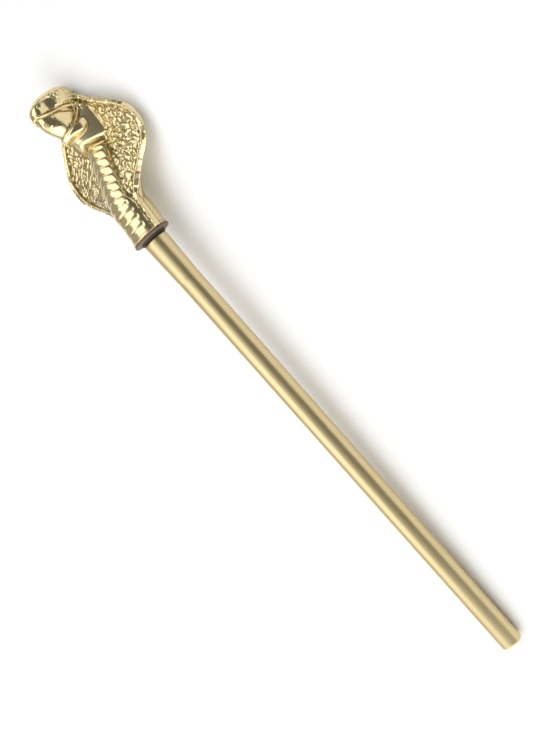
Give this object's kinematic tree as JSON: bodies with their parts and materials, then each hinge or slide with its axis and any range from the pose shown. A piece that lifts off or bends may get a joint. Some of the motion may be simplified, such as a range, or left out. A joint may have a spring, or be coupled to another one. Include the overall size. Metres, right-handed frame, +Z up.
{
  "type": "cobra sceptre",
  "caption": "Costume sceptre lying on its back: a gold cobra head with a spread hood on a plain hollow shaft.",
  "frame": {"origin": "on the surface that the sceptre lies on, under the middle of its overall box", "axes": "+Y along the staff towards the head (tilted 2.3 degrees up), +Z up, which is the snake's front, +X to the snake's left"},
  "size_m": [0.1152, 0.6054, 0.047],
  "materials": {
    "bright_gold": "gloss plastic with a bright vacuum-metallised gold film",
    "plug_plastic": "bare dark brown plastic, matte and a little scuffed",
    "satin_gold": "plastic tube with a satin pale gold film"
  },
  "bodies": {
    "root": {"cobra_head": "bright_gold", "base_plug": "plug_plastic", "shaft_tube": "satin_gold"}
  },
  "joints": []
}
